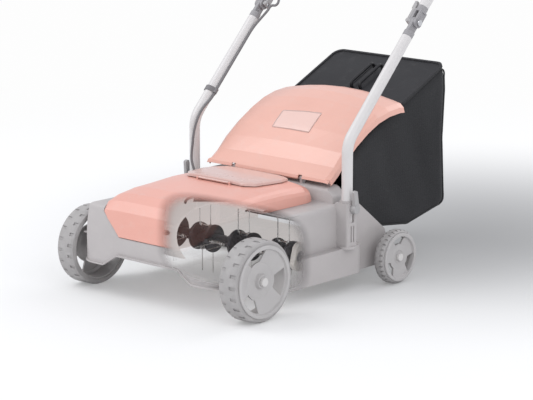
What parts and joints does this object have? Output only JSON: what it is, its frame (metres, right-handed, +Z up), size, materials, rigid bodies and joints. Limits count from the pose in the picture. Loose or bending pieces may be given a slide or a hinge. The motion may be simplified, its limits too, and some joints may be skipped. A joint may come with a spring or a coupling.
{
  "type": "cordless lawn scarifier",
  "caption": "Walk-behind battery lawn scarifier with spring-tine roller, four wheels, depth lever, rear flap, catch bag and folding handle.",
  "frame": {"origin": "on the ground, under the middle of the bounding box", "axes": "+X across the machine towards the side that carries the bearing carrier, +Y from the front rearwards to the user, +Z up"},
  "size_m": [0.558, 1.062, 1.029],
  "materials": {
    "deck_grey": "fine satin moulding",
    "hood_pink": "satin gloss",
    "lid_pale": "gloss",
    "tyre_grey": "matt",
    "rim_grey": "satin",
    "moulded_black": "satin",
    "moulded_grey": "satin",
    "bearing_white": "satin",
    "tube_paint": "satin powder coat",
    "bright_steel": "zinc plated",
    "controller_alloy": "blasted",
    "motor_steel": "painted",
    "belt_rubber": "matt",
    "cable_rubber": "satin",
    "foam": "matt foam",
    "button_red": "gloss",
    "bag_cloth": "woven"
  },
  "bodies": {
    "chassis": {"deck": "deck_grey", "hood": "hood_pink", "lid_pin": "bright_steel", "battery_packs": "moulded_black", "battery_tray": "moulded_grey", "controller": "controller_alloy", "motor": "motor_steel", "drive_belt": "belt_rubber", "belt_cover": "deck_grey", "roller_bearings": "bright_steel", "bearing_cap": "bearing_white", "rear_axle": "bright_steel", "rear_axle_caps": "bright_steel", "flap_rod": "bright_steel", "handle_tube_left": "tube_paint", "handle_tube_right": "tube_paint", "foot_bolts": "bright_steel", "fold_tongues": "moulded_black", "fold_bolts": "bright_steel", "switch_cable_lower": "cable_rubber", "power_leads": "cable_rubber", "cable_clips_lower": "moulded_black", "deck_screws": "bright_steel"},
    "lid": {"battery_lid": "lid_pale"},
    "motor_rotor": {"motor_shaft": "bright_steel", "motor_pulley": "bright_steel"},
    "tine_roller": {"roller_pulley": "bright_steel", "roller_core": "moulded_black", "roller_shaft": "bright_steel", "spring_rods": "bright_steel", "tine_springs": "bright_steel"},
    "front_axle": {"swing_axle": "bright_steel", "depth_lever": "moulded_black", "front_axle_caps": "bright_steel"},
    "front_wheel_left": {"front_tyre_left": "tyre_grey", "front_rim_left": "rim_grey"},
    "front_wheel_right": {"front_tyre_right": "tyre_grey", "front_rim_right": "rim_grey"},
    "rear_wheel_left": {"rear_tyre_left": "tyre_grey", "rear_rim_left": "rim_grey"},
    "rear_wheel_right": {"rear_tyre_right": "tyre_grey", "rear_rim_right": "rim_grey"},
    "flap": {"rear_flap": "hood_pink"},
    "catch_bag": {"bag_fabric": "bag_cloth", "bag_top_panel": "moulded_black", "bag_frame": "bright_steel", "bag_grip": "moulded_black"},
    "foot_clamp_left": {"foot_clamp_left": "moulded_grey"},
    "foot_clamp_right": {"foot_clamp_right": "moulded_grey"},
    "fold_lever_left": {"fold_lever_left": "moulded_grey"},
    "fold_lever_right": {"fold_lever_right": "moulded_grey"},
    "handle_top": {"fold_forks": "moulded_black", "upper_handle": "tube_paint", "foam_grip": "foam", "switch_box": "moulded_black", "switch_cable_upper": "cable_rubber", "cable_clips_upper": "moulded_black"},
    "bail": {"bail_bar": "bright_steel"},
    "button": {"lock_button": "button_red"}
  },
  "joints": [
    {"name": "depth_swing", "type": "hinge", "parent": "chassis", "child": "front_axle", "pos_m": [0, -0.33801, 0.118], "axis": [-1, 0, 0], "range_deg": [0, 9.8]},
    {"name": "front_wheel_left_spin", "type": "hinge", "parent": "front_axle", "child": "front_wheel_left", "pos_m": [-0.252, -0.44101, 0.09], "axis": [1, 0, 0], "continuous": true},
    {"name": "front_wheel_right_spin", "type": "hinge", "parent": "front_axle", "child": "front_wheel_right", "pos_m": [0.252, -0.44101, 0.09], "axis": [1, 0, 0], "continuous": true},
    {"name": "rear_wheel_left_spin", "type": "hinge", "parent": "chassis", "child": "rear_wheel_left", "pos_m": [-0.264, 0.01599, 0.062], "axis": [1, 0, 0], "continuous": true},
    {"name": "rear_wheel_right_spin", "type": "hinge", "parent": "chassis", "child": "rear_wheel_right", "pos_m": [0.264, 0.01599, 0.062], "axis": [1, 0, 0], "continuous": true},
    {"name": "roller_spin", "type": "hinge", "parent": "chassis", "child": "tine_roller", "pos_m": [0, -0.23601, 0.095], "axis": [1, 0, 0], "continuous": true},
    {"name": "motor_spin", "type": "hinge", "parent": "chassis", "child": "motor_rotor", "pos_m": [0, -0.36601, 0.174], "axis": [1, 0, 0], "continuous": true},
    {"name": "lid_hinge", "type": "hinge", "parent": "chassis", "child": "lid", "pos_m": [0, -0.30581, 0.252], "axis": [1, 0, 0], "range_deg": [0, 75]},
    {"name": "flap_hinge", "type": "hinge", "parent": "chassis", "child": "flap", "pos_m": [0, -0.12301, 0.243], "axis": [1, 0, 0], "range_deg": [0, 60]},
    {"name": "bag_unhook", "type": "slide", "parent": "chassis", "child": "catch_bag", "axis": [0, 0.9848, 0.1736], "range_m": [0, 0.36]},
    {"name": "foot_clamp_left_turn", "type": "hinge", "parent": "chassis", "child": "foot_clamp_left", "pos_m": [-0.257, -0.12301, 0.193], "axis": [1, 0, 0], "continuous": true},
    {"name": "foot_clamp_right_turn", "type": "hinge", "parent": "chassis", "child": "foot_clamp_right", "pos_m": [0.257, -0.12301, 0.193], "axis": [1, 0, 0], "continuous": true},
    {"name": "handle_fold", "type": "hinge", "parent": "chassis", "child": "handle_top", "pos_m": [0, 0.10965, 0.58418], "axis": [1, 0, 0], "range_deg": [0, 125]},
    {"name": "fold_lever_left_turn", "type": "hinge", "parent": "handle_top", "child": "fold_lever_left", "pos_m": [-0.218, 0.10965, 0.58418], "axis": [1, 0, 0], "range_deg": [0, 120]},
    {"name": "fold_lever_right_turn", "type": "hinge", "parent": "handle_top", "child": "fold_lever_right", "pos_m": [0.218, 0.10965, 0.58418], "axis": [1, 0, 0], "range_deg": [0, 120]},
    {"name": "bail_pull", "type": "hinge", "parent": "handle_top", "child": "bail", "pos_m": [0, 0.48549, 0.98023], "axis": [-1, 0, 0], "range_deg": [0, 32], "stiffness_Nm_per_rad": 1, "springref_deg": -17.19},
    {"name": "lock_button_press", "type": "slide", "parent": "handle_top", "child": "button", "axis": [0, 0.7254, -0.6884], "range_m": [0, 0.004], "stiffness_N_per_m": 400, "springref_m": -0.002}
  ],
  "couplings": [
    {"joint": "motor_spin", "follows": "roller_spin", "ratio": 2}
  ]
}
